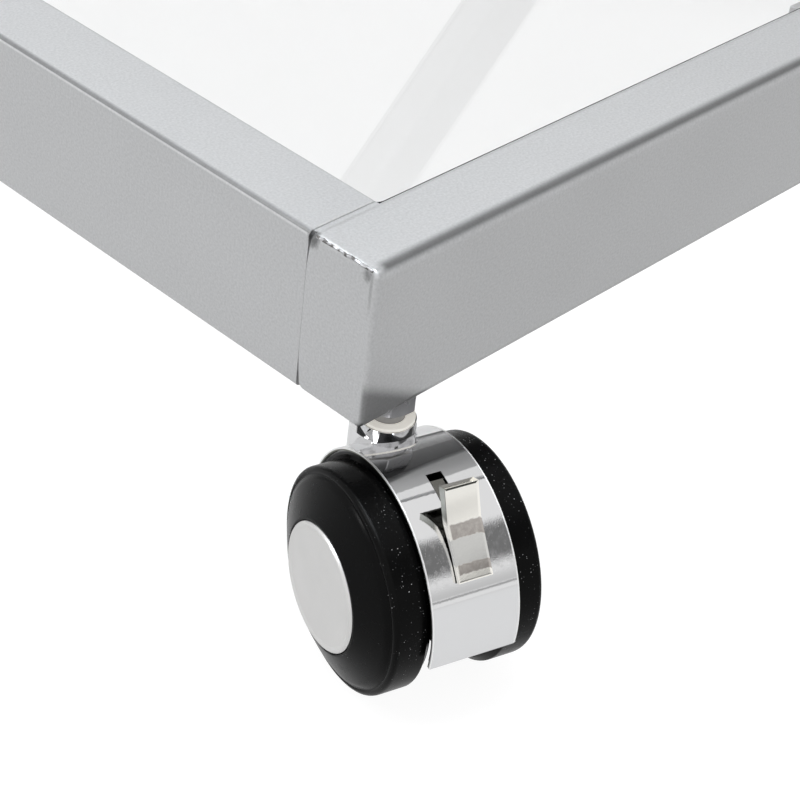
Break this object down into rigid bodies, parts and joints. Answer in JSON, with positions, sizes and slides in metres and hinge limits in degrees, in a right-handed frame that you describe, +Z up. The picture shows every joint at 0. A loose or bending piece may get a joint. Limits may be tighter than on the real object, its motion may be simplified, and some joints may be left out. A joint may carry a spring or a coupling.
{
  "type": "bar cart",
  "caption": "Bar cart with Z-shaped silver tube side frames, bolted cross rails, inset clear glass shelves and hooded swivel casters, the front ones with a rocker brake lever.",
  "frame": {"origin": "on the floor, under the middle of the cart", "axes": "+X along the cart's length, +Y across its depth from front to back, +Z up"},
  "size_m": [0.7842, 0.4544, 0.85],
  "materials": {
    "frame_paint": "silver metallic paint, satin, faint orange peel",
    "shelf_glass": "clear polished",
    "clear_pad": "soft clear",
    "caster_chrome": "polished",
    "lever_nickel": "satin nickel",
    "cap_satin": "satin",
    "wheel_plastic": "gloss",
    "bush_nylon": "natural",
    "zinc_steel": "zinc plated"
  },
  "bodies": {
    "frame": {"bottom_tube_front": "frame_paint", "top_tube_front": "frame_paint", "diagonal_brace_front": "frame_paint", "bottom_tube_back": "frame_paint", "top_tube_back": "frame_paint", "diagonal_brace_back": "frame_paint", "tube_end_plates": "frame_paint", "lower_rail_left": "frame_paint", "lower_rail_right": "frame_paint", "lower_glass_shelf": "shelf_glass", "lower_shelf_tabs": "frame_paint", "lower_shelf_pads": "clear_pad", "upper_rail_left": "frame_paint", "upper_rail_right": "frame_paint", "upper_glass_shelf": "shelf_glass", "upper_shelf_tabs": "frame_paint", "upper_shelf_pads": "clear_pad", "corner_brackets": "frame_paint", "bracket_bolts": "zinc_steel", "weld_nuts": "zinc_steel", "caster_stems": "zinc_steel", "stem_inserts": "zinc_steel"},
    "front_left_caster": {"front_left_caster_body": "caster_chrome", "front_left_swivel_bush": "bush_nylon", "front_left_hood": "caster_chrome", "front_left_axle": "zinc_steel", "front_left_lever_pin": "zinc_steel"},
    "front_left_wheel_a_set": {"front_left_wheel_a": "wheel_plastic", "front_left_hub_cap_a": "cap_satin"},
    "front_left_wheel_b_set": {"front_left_wheel_b": "wheel_plastic", "front_left_hub_cap_b": "cap_satin"},
    "front_left_brake": {"front_left_brake_lever": "lever_nickel"},
    "front_right_caster": {"front_right_caster_body": "caster_chrome", "front_right_swivel_bush": "bush_nylon", "front_right_hood": "caster_chrome", "front_right_axle": "zinc_steel", "front_right_lever_pin": "zinc_steel"},
    "front_right_wheel_a_set": {"front_right_wheel_a": "wheel_plastic", "front_right_hub_cap_a": "cap_satin"},
    "front_right_wheel_b_set": {"front_right_wheel_b": "wheel_plastic", "front_right_hub_cap_b": "cap_satin"},
    "front_right_brake": {"front_right_brake_lever": "lever_nickel"},
    "back_left_caster": {"back_left_caster_body": "caster_chrome", "back_left_swivel_bush": "bush_nylon", "back_left_hood": "caster_chrome", "back_left_axle": "zinc_steel"},
    "back_left_wheel_a_set": {"back_left_wheel_a": "wheel_plastic", "back_left_hub_cap_a": "cap_satin"},
    "back_left_wheel_b_set": {"back_left_wheel_b": "wheel_plastic", "back_left_hub_cap_b": "cap_satin"},
    "back_right_caster": {"back_right_caster_body": "caster_chrome", "back_right_swivel_bush": "bush_nylon", "back_right_hood": "caster_chrome", "back_right_axle": "zinc_steel"},
    "back_right_wheel_a_set": {"back_right_wheel_a": "wheel_plastic", "back_right_hub_cap_a": "cap_satin"},
    "back_right_wheel_b_set": {"back_right_wheel_b": "wheel_plastic", "back_right_hub_cap_b": "cap_satin"}
  },
  "joints": [
    {"name": "front_left_swivel", "type": "hinge", "parent": "frame", "child": "front_left_caster", "pos_m": [-0.36, -0.18, 0.0588], "axis": [0, 0, 1], "continuous": true},
    {"name": "front_left_roll_a", "type": "hinge", "parent": "front_left_caster", "child": "front_left_wheel_a_set", "pos_m": [-0.36517, -0.1964, 0.0264], "axis": [-0.9537, 0.3007, 0], "continuous": true},
    {"name": "front_left_roll_b", "type": "hinge", "parent": "front_left_caster", "child": "front_left_wheel_b_set", "pos_m": [-0.36517, -0.1964, 0.0264], "axis": [-0.9537, 0.3007, 0], "continuous": true},
    {"name": "front_left_brake_press", "type": "hinge", "parent": "front_left_caster", "child": "front_left_brake", "pos_m": [-0.36972, -0.21081, 0.04719], "axis": [-0.9537, 0.3007, 0], "range_deg": [0, 26]},
    {"name": "front_right_swivel", "type": "hinge", "parent": "frame", "child": "front_right_caster", "pos_m": [0.36, -0.18, 0.0588], "axis": [0, 0, 1], "continuous": true},
    {"name": "front_right_roll_a", "type": "hinge", "parent": "front_right_caster", "child": "front_right_wheel_a_set", "pos_m": [0.35483, -0.1964, 0.0264], "axis": [-0.9537, 0.3007, 0], "continuous": true},
    {"name": "front_right_roll_b", "type": "hinge", "parent": "front_right_caster", "child": "front_right_wheel_b_set", "pos_m": [0.35483, -0.1964, 0.0264], "axis": [-0.9537, 0.3007, 0], "continuous": true},
    {"name": "front_right_brake_press", "type": "hinge", "parent": "front_right_caster", "child": "front_right_brake", "pos_m": [0.35029, -0.21081, 0.04719], "axis": [-0.9537, 0.3007, 0], "range_deg": [0, 26]},
    {"name": "back_left_swivel", "type": "hinge", "parent": "frame", "child": "back_left_caster", "pos_m": [-0.36, 0.18, 0.0588], "axis": [0, 0, 1], "continuous": true},
    {"name": "back_left_roll_a", "type": "hinge", "parent": "back_left_caster", "child": "back_left_wheel_a_set", "pos_m": [-0.35483, 0.1964, 0.0264], "axis": [0.9537, -0.3007, 0], "continuous": true},
    {"name": "back_left_roll_b", "type": "hinge", "parent": "back_left_caster", "child": "back_left_wheel_b_set", "pos_m": [-0.35483, 0.1964, 0.0264], "axis": [0.9537, -0.3007, 0], "continuous": true},
    {"name": "back_right_swivel", "type": "hinge", "parent": "frame", "child": "back_right_caster", "pos_m": [0.36, 0.18, 0.0588], "axis": [0, 0, 1], "continuous": true},
    {"name": "back_right_roll_a", "type": "hinge", "parent": "back_right_caster", "child": "back_right_wheel_a_set", "pos_m": [0.36517, 0.1964, 0.0264], "axis": [0.9537, -0.3007, 0], "continuous": true},
    {"name": "back_right_roll_b", "type": "hinge", "parent": "back_right_caster", "child": "back_right_wheel_b_set", "pos_m": [0.36517, 0.1964, 0.0264], "axis": [0.9537, -0.3007, 0], "continuous": true}
  ]
}
